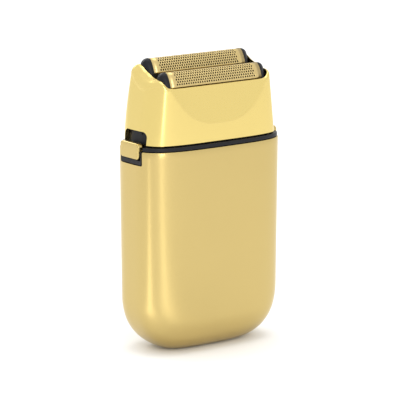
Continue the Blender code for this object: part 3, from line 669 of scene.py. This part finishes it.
def head_point(angle, z, inset=0.0, scoop=True):
    """A point on the head's outer wall, which leans in towards its top and most at the rear."""
    share = (z - HEAD_BOTTOM) / (HEAD_TOP - HEAD_BOTTOM)
    half_width = between(HEAD_HALF_WIDTH, share) - inset
    behind = sin(angle) > 0
    if behind:
        rear = between(HEAD_REAR, share) - inset
        x, y = superellipse_point(angle, half_width, rear, between(REAR_POWER, share))
    else:
        front = between(HEAD_FRONT, share) - inset
        reach = creased_reach(cos(angle), sin(angle), share)
        x = half_width * reach * cos(angle)
        y = front * reach * sin(angle)
    if scoop and not behind and abs(x) < SCOOP_HALF_WIDTH:
        edge = SCOOP_BOTTOM + (LIP_Z - SCOOP_BOTTOM) * (abs(x) / SCOOP_HALF_WIDTH) ** SCOOP_POWER
        if z > edge:
            y += max(0.0, LIP_Y - y) * min(1.0, (z - edge) / (LIP_Z - edge))
    return Vector((x, y, z))


def opening_point(angle, z=0.0):
    """A point on the opening that the foils stand in."""
    centre_y = (OPENING_FRONT + OPENING_REAR) / 2
    half_depth = (OPENING_REAR - OPENING_FRONT) / 2
    x, y = superellipse_point(angle, OPENING_HALF_WIDTH, half_depth, OPENING_SQUARENESS)
    return Vector((x, centre_y + y, z))


def head_column(angle, rows=60, round_steps=16):
    """The wall's section at one angle: up the outside, over the shoulder and down the inside."""
    inner = opening_point(angle)
    top = smooth_through(SIDE_KNOTS, inner.y)
    outer = head_point(angle, top)
    thickness = max(RIM_THINNEST, (outer.xy - inner.xy).length)
    behind = sin(angle) > 0
    rise = min(SHOULDER_REAR if behind else LIP_ROUND, SHOULDER_SHARE * thickness)
    fade = SHOULDER_FADE_REAR if behind else SHOULDER_FADE_FRONT
    rise += (SHOULDER_SIDE - rise) * abs(cos(angle)) ** fade
    column = [head_point(angle, HEAD_BOTTOM, inset=RIM_ROUND)]
    start = HEAD_BOTTOM + RIM_ROUND
    for i in range(rows + 1):
        column.append(head_point(angle, start + (top - rise - start) * i / rows))
    shoulder = column[-1]
    for turn in quarter_turns(round_steps, 1):
        x = inner.x + (shoulder.x - inner.x) * cos(turn)
        y = inner.y + (shoulder.y - inner.y) * cos(turn)
        column.append(Vector((x, y, shoulder.z + rise * sin(turn))))
    column.append(opening_point(angle, top - OPENING_RIM))
    column.append(opening_point(angle, OPENING_SILL))
    for z in HEAD_INSIDE_HEIGHTS:
        column.append(head_point(angle, z, inset=HEAD_WALL, scoop=False))
    return column


# ---------------------------------------------------------------- handle

def make_handle(foot_steps=26, side_steps=24, rim_steps=4):
    """The gold sleeve: up its outside, over its rim and down its inside, with its openings cut."""
    foot = BASE_ROUND_X[1]
    side_top = BODY_HEIGHT - RIM_ROUND
    heights = [foot * (1 - cos(turn)) for turn in quarter_turns(foot_steps)]
    heights += [foot + (side_top - foot) * i / side_steps for i in range(1, side_steps + 1)]
    rings = [body_ring(z) for z in heights]
    for turn in quarter_turns(rim_steps, 1):
        z = side_top + RIM_ROUND * sin(turn)
        rings.append(body_ring(z, RIM_ROUND * (1 - cos(turn)), RIM_OUTLINE_Z))
    rings += [body_ring(z, BODY_WALL) for z in INSIDE_HEIGHTS]

    port = pill(*PORT_HOLE, *THROUGH_BASE)
    switch = pill(BEZEL_HALF_WIDTH + SWITCH_GAP, BEZEL_HALF_HEIGHT + SWITCH_GAP,
                  0.0, REAR_WALL_CUT_DEPTH)
    lens = turned([(LENS_HOLE_RADIUS, 0.0), (LENS_HOLE_RADIUS, REAR_WALL_CUT_DEPTH)], HOLE_SIDES)
    shell = cut(loft(rings), notch_cutter(), port,
                laid_along_y(switch, (0.0, REAR_WALL_CUT_Y, SWITCH_Z)),
                laid_along_y(lens, (0.0, REAR_WALL_CUT_Y, LENS_Z)))
    piece("handle_shell", shell, "satin_gold", "handle", "body_shell")


def notch_cutter(steps=6):
    """Cuts the button notch through both sides, rounded at the rim and at each inner corner."""
    outline = [(NOTCH_HALF_WIDTH + NOTCH_FLARE, BODY_HEIGHT + NOTCH_RISE)]
    for turn in quarter_turns(steps):
        outline.append((NOTCH_HALF_WIDTH + NOTCH_FLARE * (1 - sin(turn)),
                        BODY_HEIGHT - NOTCH_FLARE * (1 - cos(turn))))
    for turn in quarter_turns(steps):
        outline.append((NOTCH_HALF_WIDTH - NOTCH_CORNER + NOTCH_CORNER * cos(turn),
                        NOTCH_BOTTOM + NOTCH_CORNER - NOTCH_CORNER * sin(turn)))
    outline += [(-y, z) for y, z in reversed(outline)]
    return along_x(outline, across(THROUGH_X))


def make_deck(round_steps=4):
    """The black plug in the handle's top, whose flange is the collar."""
    rings = [body_ring(z, BODY_WALL + DECK_GAP, RIM_OUTLINE_Z)
             for z in (DECK_BOTTOM, COLLAR_BOTTOM)]
    rings.append(body_ring(COLLAR_BOTTOM, COLLAR_INSET, RIM_OUTLINE_Z))
    for turn in quarter_turns(round_steps):
        z = COLLAR_TOP - COLLAR_ROUND + COLLAR_ROUND * sin(turn)
        rings.append(body_ring(z, COLLAR_INSET + COLLAR_ROUND * (1 - cos(turn)), RIM_OUTLINE_Z))

    cuts = []
    button_pocket = ((BUTTON_POCKET_INNER, THROUGH_X), across(NOTCH_HALF_WIDTH), THROUGH_DECK)
    hook_pocket = (HOOK_POCKET_X, across(HOOK_POCKET_HALF_WIDTH), THROUGH_DECK)
    for side in (-1, 1):
        cuts.append(mirrored(block(*button_pocket), side))
        cuts.append(mirrored(block(*hook_pocket), side))
    cuts.append(turned([(DRIVE_HOLE_RADIUS, z) for z in THROUGH_DECK], DRIVE_HOLE_SIDES,
                       (0.0, DRIVE_Y)))
    for side in (-1, 1):
        cuts.append(turned([(PIN_HOLE_RADIUS, z) for z in THROUGH_DECK], PIN_HOLE_SIDES,
                           (side * PIN_X, DRIVE_Y)))
    low, high = THROUGH_DECK
    screw_hole = [(SCREW_HOLE_RADIUS, low), (SCREW_HOLE_RADIUS, SCREW_SEAT_Z),
                  (SCREW_SEAT_RADIUS, SCREW_SEAT_Z), (SCREW_SEAT_RADIUS, high)]
    cuts += [turned(screw_hole, HOLE_SIDES, place) for place in DECK_SCREWS]
    piece("deck_and_collar", cut(loft(rings), *cuts), "black_plastic", "handle", "top_deck")


def make_button_frames():
    """The black liners of the notches."""
    for name, side in SIDES:
        base = block(LINER_X, across(NOTCH_HALF_WIDTH - LINER_GAP),
                     (NOTCH_BOTTOM + LINER_GAP, BODY_HEIGHT))
        gap = block((LINER_CUT_INNER, THROUGH_X), across(BUTTON_HALF_WIDTH + LINER_GAP),
                    (BUTTON_BOTTOM - LINER_FLOOR_GAP, THROUGH_DECK[1]))
        piece(f"notch_liner_{name}", mirrored(cut(base, gap), side), "black_plastic", "handle",
              f"button_frame_{name}", bevel=LINER_BEVEL)


def button_cap(edge_steps=6):
    """The outer plate of a release button: crowned, with round corners and softened edges."""
    half_z = (BUTTON_TOP - BUTTON_BOTTOM) / 2
    middle = (BUTTON_TOP + BUTTON_BOTTOM) / 2
    rim = BUTTON_FACE - BUTTON_CROWN
    edge = rim - BUTTON_EDGE_DEPTH
    layers = [(BUTTON_BACK, 0.0)]
    for turn in quarter_turns(edge_steps):
        layers.append((edge + BUTTON_EDGE_DEPTH * sin(turn), BUTTON_EDGE_WIDTH * (1 - cos(turn))))
    rings = []
    for x, inset in layers:
        outline = rounded_outline(BUTTON_HALF_WIDTH - inset, half_z - inset, BUTTON_CORNER - inset)
        rings.append([(x, y, middle + z) for y, z in outline])
    inner = rings[-1]
    for share in BUTTON_CROWN_SHARES:
        x = rim + BUTTON_CROWN * (1 - share ** 2)
        rings.append([(x, y * share, middle + (z - middle) * share) for _, y, z in inner])
    return loft(rings)


def make_buttons():
    """The release buttons, each with the shelf and the hook that reach in to the head."""
    for name, side in SIDES:
        shelf = block(SHELF_X, across(SHELF_HALF_WIDTH), SHELF_HEIGHTS)
        hook = block((HOOK_INNER, HOOK_INNER + HOOK_THICKNESS), across(HOOK_HALF_WIDTH),
                     HOOK_HEIGHTS)
        piece(f"release_tab_{name}", mirrored(join(button_cap(), shelf, hook), side), "satin_gold",
              f"release_{name}", f"release_button_{name}")


def make_switch():
    """The switch's bezel with its dished slot, the ribbed thumb piece, and the charge lens."""
    bezel = pill(BEZEL_HALF_WIDTH, BEZEL_HALF_HEIGHT, 0.0, BEZEL_DEPTH, BEZEL_EDGE)
    dish = pill(BEZEL_HALF_WIDTH - BEZEL_BORDER, BEZEL_HALF_HEIGHT - BEZEL_BORDER, 0.0, DISH_DEPTH)
    slot = block(across(SLOT_HALF_WIDTH), THROUGH_REAR, about(SWITCH_Z, SLOT_HALF_HEIGHT))
    surround = cut(laid_along_y(bezel, (0.0, BEZEL_Y, SWITCH_Z)),
                   laid_along_y(dish, (0.0, DISH_Y, SWITCH_Z)), slot)
    piece("switch_surround", surround, "black_plastic", "handle", "switch_bezel")

    knob = rounded_slab(THUMB_HALF_WIDTH, THUMB_HALF_HEIGHT, THUMB_CORNER, 0.0, THUMB_DEPTH,
                        edge=THUMB_EDGE)
    ribs = []
    for step in (-2, -1, 0, 1, 2):
        heights = about(SWITCH_LOW + step * RIB_PITCH, RIB_HALF_HEIGHT)
        ribs.append(block(across(RIB_HALF_LENGTH), RIB_Y, heights))
    stem = block(across(STEM_HALF_WIDTH), STEM_Y, about(SWITCH_LOW, STEM_HALF_HEIGHT))
    thumb = join(laid_along_y(knob, (0.0, THUMB_Y, SWITCH_LOW)), *ribs, stem)
    piece("switch_thumb", thumb, "satin_gold", "switch", "power_switch")

    lens = laid_along_y(turned(LENS_PROFILE, LENS_SIDES), (0.0, BEZEL_Y, LENS_Z))
    piece("charge_lens", lens, "lens", "handle", "indicator_lens")


def make_port():
    """The charging port in the base: its trim, and its socket with a tongue."""
    trim = cut(pill(*PORT_TRIM, *PORT_TRIM_HEIGHTS), pill(*PORT_MOUTH, BELOW_BASE, PORT_MOUTH_TOP))
    piece("port_trim", trim, "black_plastic", "handle", "port_bezel", bevel=PORT_TRIM_BEVEL)
    case = cut(pill(*SOCKET_CASE, *SOCKET_CASE_HEIGHTS),
               pill(*SOCKET_HOLLOW, BELOW_BASE, SOCKET_HOLLOW_TOP))
    tongue = block(*(across(half) for half in TONGUE), TONGUE_HEIGHTS)
    piece("port_socket", join(case, tongue), "nickel", "handle", "charging_socket")


# ---------------------------------------------------------------- head

def make_head_shell():
    """The gold head, with a window in each side wall."""
    columns = [head_column(angle) for angle in RING_ANGLES]
    rings = [[tuple(column[row]) for column in columns] for row in range(len(columns[0]))]
    outline = rounded_outline(WINDOW_HALF_WIDTH, WINDOW_HALF_HEIGHT, WINDOW_CORNER,
                              (0.0, WINDOW_TOP - WINDOW_HALF_HEIGHT))
    shell = cut(loft(rings, closed=True), along_x(outline, across(THROUGH_X)))
    piece("head_shell", shell, "bright_gold", "head", "head_housing", HEAD_SHARP)


def make_head_inner():
    """The black frame inside the head, which shows through the windows."""
    inset = HEAD_WALL + FRAME_GAP
    rings = [[tuple(head_point(angle, z, inset, False)) for angle in RING_ANGLES]
             for z in FRAME_HEIGHTS]
    hole = rounded_slab(*FRAME_HOLE, FRAME_HOLE_CORNER, *THROUGH_FRAME, (0.0, FRAME_HOLE_Y))
    pocket = ((FRAME_POCKET_INNER, HOOK_INNER + FRAME_POCKET_PAST_HOOK),
              across(FRAME_POCKET_HALF_WIDTH), (THROUGH_FRAME[0], FRAME_POCKET_TOP))
    pockets = [mirrored(block(*pocket), side) for side in (-1, 1)]
    piece("head_liner", cut(loft(rings), hole, *pockets), "black_plastic", "head",
          "head_inner_frame")


def sheet_section(y, crest, steps=160):
    """A foil's section as (distance along it, y, z), from its front foot to its rear foot."""
    foot = crest - FOIL_HEIGHT
    path = [(y - FOIL_HALF_WIDTH, foot)]
    for i in range(steps + 1):
        share = 2 * i / steps - 1
        path.append((y + FOIL_HALF_WIDTH * share, crest - FOIL_DROP * share ** 2))
    path.append((y + FOIL_HALF_WIDTH, foot))
    section = [(0.0, *path[0])]
    for (y0, z0), (y1, z1) in zip(path, path[1:]):
        section.append((section[-1][0] + ((y1 - y0) ** 2 + (z1 - z0) ** 2) ** 0.5, y1, z1))
    return section


def section_point(section, distance):
    """The (y, z) at a distance along a section."""
    for (d0, y0, z0), (d1, y1, z1) in zip(section, section[1:]):
        if distance <= d1:
            share = (distance - d0) / (d1 - d0)
            return y0 + (y1 - y0) * share, z0 + (z1 - z0) * share
    return section[-1][1:]


def perforated_sheet(y, crest):
    """A foil: rows of small round holes in a staggered pattern, with plain borders.

    The sheet is laid out flat, as x and the distance along its section, and vertex() bends it.
    """
    section = sheet_section(y, crest)
    length = section[-1][0]
    columns = int(2 * (FOIL_HALF_LENGTH - HOLE_MARGIN) / HOLE_PITCH)
    half = HOLE_PITCH / 2
    start = -columns * half
    row_height = (length - 2 * FOIL_BORDER) / HOLE_ROWS
    bm = bmesh.new()
    known = {}
    places = {}

    def vertex(x, distance):
        key = (round(x, WELD_DIGITS), round(distance, WELD_DIGITS))
        if key not in known:
            if key[1] not in places:
                places[key[1]] = section_point(section, distance)
            known[key] = bm.verts.new((x, *places[key[1]]))
        return known[key]

    def face(corners):
        bm.faces.new([vertex(*corner) for corner in corners])

    for row in range(HOLE_ROWS):
        low = FOIL_BORDER + row * row_height
        middle = low + row_height / 2
        high = low + row_height
        shifted = row % 2
        # Plain sheet at both ends of the row, wider by half a hole where the row is shifted
        for end, inner in ((-FOIL_HALF_LENGTH, start), (FOIL_HALF_LENGTH, -start)):
            near = inner + (half if inner < 0 else -half)
            for bottom, top in ((low, middle), (middle, high)):
                face([(end, bottom), (inner, bottom), (inner, top), (end, top)])
                if shifted:
                    face([(inner, bottom), (near, bottom), (near, top), (inner, top)])
        # Each hole is a ring of faces between its rim and the square round it
        for column in range(columns - shifted):
            x = start + half * shifted + column * HOLE_PITCH + half
            around = [(x + half, middle), (x + half, high), (x, high), (x - half, high),
                      (x - half, middle), (x - half, low), (x, low), (x + half, low)]
            count = len(around)
            rim = []
            for k in range(count):
                angle = 2 * pi * k / count
                rim.append((x + HOLE_RADIUS * cos(angle), middle + HOLE_RADIUS * sin(angle)))
            for k in range(count):
                n = (k + 1) % count
                face([rim[k], around[k], around[n], rim[n]])
    inner_stops = [start + half * i for i in range(2 * columns + 1)]
    stops = [-FOIL_HALF_LENGTH, *inner_stops, FOIL_HALF_LENGTH]
    for edge, inner in ((0.0, FOIL_BORDER), (length, length - FOIL_BORDER)):
        for a, b in zip(stops, stops[1:]):
            face([(a, edge), (b, edge), (b, inner), (a, inner)])
    bmesh.ops.recalc_face_normals(bm, faces=bm.faces)
    top_face = max(bm.faces, key=lambda f: f.calc_center_median().z)
    if top_face.normal.z < 0:
        bmesh.ops.reverse_faces(bm, faces=bm.faces)
    return bm


def cap_outline(y, crest, front, rear, foot, steps=24):
    """A cap's section in (y, z): as steep as the foil in front, and fuller at the rear."""
    outline = [(y + rear, foot)]
    for turn in quarter_turns(steps):
        outline.append((y + rear * signed_power(cos(turn), CAP_SQUARING),
                        crest - CAP_CROWN + CAP_CROWN * signed_power(sin(turn), CAP_SQUARING)))
    for i in range(1, steps + 1):
        share = i / steps
        outline.append((y - front * share, crest - FOIL_DROP * share ** 2))
    outline.append((y - front, foot))
    return outline


def foil_end(y, crest, side, steps=14):
    """The black domed cap that closes one end of a foil."""
    begin = FOIL_HALF_LENGTH + CAP_GAP
    span = CAP_ROOT + CAP_LENGTH - CAP_GAP
    rings = []
    for turn in quarter_turns(steps):
        distance = span * sin(turn)
        share = (1 - (distance / (CAP_ROUND + CAP_ROOT)) ** 2) ** 0.5
        outline = cap_outline(y, crest - CAP_FALL * (1 - share), FOIL_HALF_WIDTH * share,
                              CAP_REACH * share, crest - CARRIER_HEIGHT)
        rings.append([(side * (begin + distance), py, pz) for py, pz in outline])
    return loft(rings)


def make_foils():
    """The perforated foils, and the black carriers that hold their ends."""
    for name, (y, crest) in FOIL_CRESTS.items():
        sheet = piece(f"foil_sheet_{name}", perforated_sheet(y, crest), "foil_gold",
                      f"foil_{name}", f"foil_{name}", FOIL_SHARP)
        thick = sheet.modifiers.new("sheet", "SOLIDIFY")
        thick.thickness = FOIL_SHEET * MM
        thick.offset = -1.0
        heights = [crest - below for below in RAIL_HEIGHTS]
        rails = [block(across(RAIL_HALF_LENGTH), about(y + offset, RAIL_HALF_WIDTH), heights)
                 for offset in across(RAIL_OFFSET)]
        carrier = join(foil_end(y, crest, -1), *rails, foil_end(y, crest, 1))
        piece(f"foil_ends_{name}", carrier, "black_plastic", f"foil_{name}",
              f"foil_carrier_{name}", CAP_SHARP)


def arch(y, crest, half_width, drop, foot, steps=16):
    """An arch in (y, z): a parabola down from its crest by drop, then upright to its foot."""
    outline = [(y + half_width, foot)]
    for i in range(steps + 1):
        share = 1 - 2 * i / steps
        outline.append((y + half_width * share, crest - drop * share ** 2))
    outline.append((y - half_width, foot))
    return outline


def make_cutters():
    """Under each foil, a row of thin arched blades on one core."""
    pitch = 2 * CUTTER_HALF_LENGTH / BLADES
    for name, (y, crest) in FOIL_CRESTS.items():
        foot = crest - CUTTER_HEIGHT
        blade = arch(y, crest - BLADE_GAP, CUTTER_HALF_WIDTH, BLADE_DROP, foot)
        core = arch(y, crest - CORE_GAP, CUTTER_HALF_WIDTH - CORE_INSET, CORE_DROP, foot)
        steps = ((0.0, core), (BLADE_START, core), (BLADE_START, blade), (BLADE_END, blade),
                 (BLADE_END, core))
        rings = []
        for i in range(BLADES):
            start = -CUTTER_HALF_LENGTH + i * pitch
            for share, outline in steps:
                rings.append([(start + share * pitch, py, pz) for py, pz in outline])
        rings.append([(CUTTER_HALF_LENGTH, py, pz) for py, pz in core])
        # The blades take blade_steel, whose near-black colour is painted shade for the dark seen
        # through the foils' holes
        piece(f"blade_row_{name}", loft(rings), "blade_steel", f"cutter_{name}", f"cutter_{name}")


# ---------------------------------------------------------------- pieces that keep their CAD shape

def finish_cad_nodes():
    """Gives every CAD node the finish of its slot, for those that stay visible."""
    slots = {entry["node"]: entry["material_slot"] for entry in frame["record"]["subparts"]}
    for name, thing in frame["nodes"].items():
        thing.data.materials.clear()
        thing.data.materials.append(MATERIALS[slots[name]])


def make_springs():
    """Each spring keeps its CAD shape and finish, as a copy that rides on its body."""
    behaviour = frame["record"]["behaviour"]
    home = {name: body for body, names in behaviour["bodies"].items() for name in names}
    for joint in behaviour["joints"]:
        for entry in joint.get("deforming_nodes", []):
            name = entry["node"]
            spring = bpy.data.objects.new(f"{name}_coil", frame["nodes"][name].data.copy())
            bpy.context.scene.collection.objects.link(spring)
            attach(spring, home[name])
            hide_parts(name)
            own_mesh(spring)


# ---------------------------------------------------------------- studio

def rectangle_light(name, size, power):
    """A rectangular area light, still at the origin and pointing down."""
    light = bpy.data.lights.new(name, "AREA")
    light.shape = "RECTANGLE"
    light.size, light.size_y = size
    light.energy = power
    thing = bpy.data.objects.new(name, light)
    bpy.context.scene.collection.objects.link(thing)
    return thing


def area_light(name, place, target, size, power):
    """A light at a place, turned towards a target."""
    thing = rectangle_light(name, size, power)
    thing.location = place
    away = Vector(place) - Vector(target)
    thing.rotation_euler = away.to_track_quat("Z", "Y").to_euler()


def floor_glow(name, heading, width, power):
    """A narrow light just over the floor, which brightens a strip that runs away from the object."""
    thing = rectangle_light(name, (GLOW_FAR - GLOW_NEAR, width), power)
    middle = (GLOW_NEAR + GLOW_FAR) / 2
    turn = radians(heading)
    thing.location = (middle * cos(turn), middle * sin(turn), GLOW_HEIGHT)
    thing.rotation_euler = (0, 0, turn)


def make_studio():
    """A white floor in a bright white room, with lights that draw the handle's highlights."""
    bm = bmesh.new()
    bmesh.ops.create_grid(bm, x_segments=1, y_segments=1, size=FLOOR_SIZE)
    mesh = bpy.data.meshes.new("floor")
    bm.to_mesh(mesh)
    bm.free()
    floor = bpy.data.objects.new("floor", mesh)
    bpy.context.scene.collection.objects.link(floor)
    floor.data.materials.append(finish("floor_white", **FLOOR_FINISH))

    world = bpy.data.worlds.new("studio")
    bpy.context.scene.world = world
    world.use_nodes = True
    background = world.node_tree.nodes["Background"]
    background.inputs["Color"].default_value = (1.0, 1.0, 1.0, 1.0)
    background.inputs["Strength"].default_value = WORLD_STRENGTH
    for light in AREA_LIGHTS:
        area_light(*light)
    for glow in FLOOR_GLOWS:
        floor_glow(*glow)
    bpy.context.scene.view_settings.view_transform = "Standard"


def make_camera():
    """The photograph's own view, fitted to the object's outline."""
    azimuth = radians(CAMERA_AZIMUTH)
    elevation = radians(CAMERA_ELEVATION)
    back = Vector((sin(azimuth) * cos(elevation), -cos(azimuth) * cos(elevation), sin(elevation)))
    right = (-back).cross(Vector((0, 0, 1))).normalized()
    camera = bpy.data.cameras.new("camera")
    camera.sensor_width = CAMERA_SENSOR
    camera.lens = CAMERA_LENS
    camera.clip_end = CAMERA_CLIP
    thing = bpy.data.objects.new("camera", camera)
    target = Vector((0, 0, CAMERA_TARGET_Z))
    thing.location = target + back * CAMERA_DISTANCE + right * CAMERA_SHIFT
    thing.rotation_euler = back.to_track_quat("Z", "Y").to_euler()
    bpy.context.scene.collection.objects.link(thing)
    bpy.context.scene.camera = thing


make_camera()
make_studio()
finish_cad_nodes()
make_handle()
make_deck()
make_button_frames()
make_buttons()
make_switch()
make_port()
make_head_shell()
make_head_inner()
make_foils()
make_cutters()
make_springs()
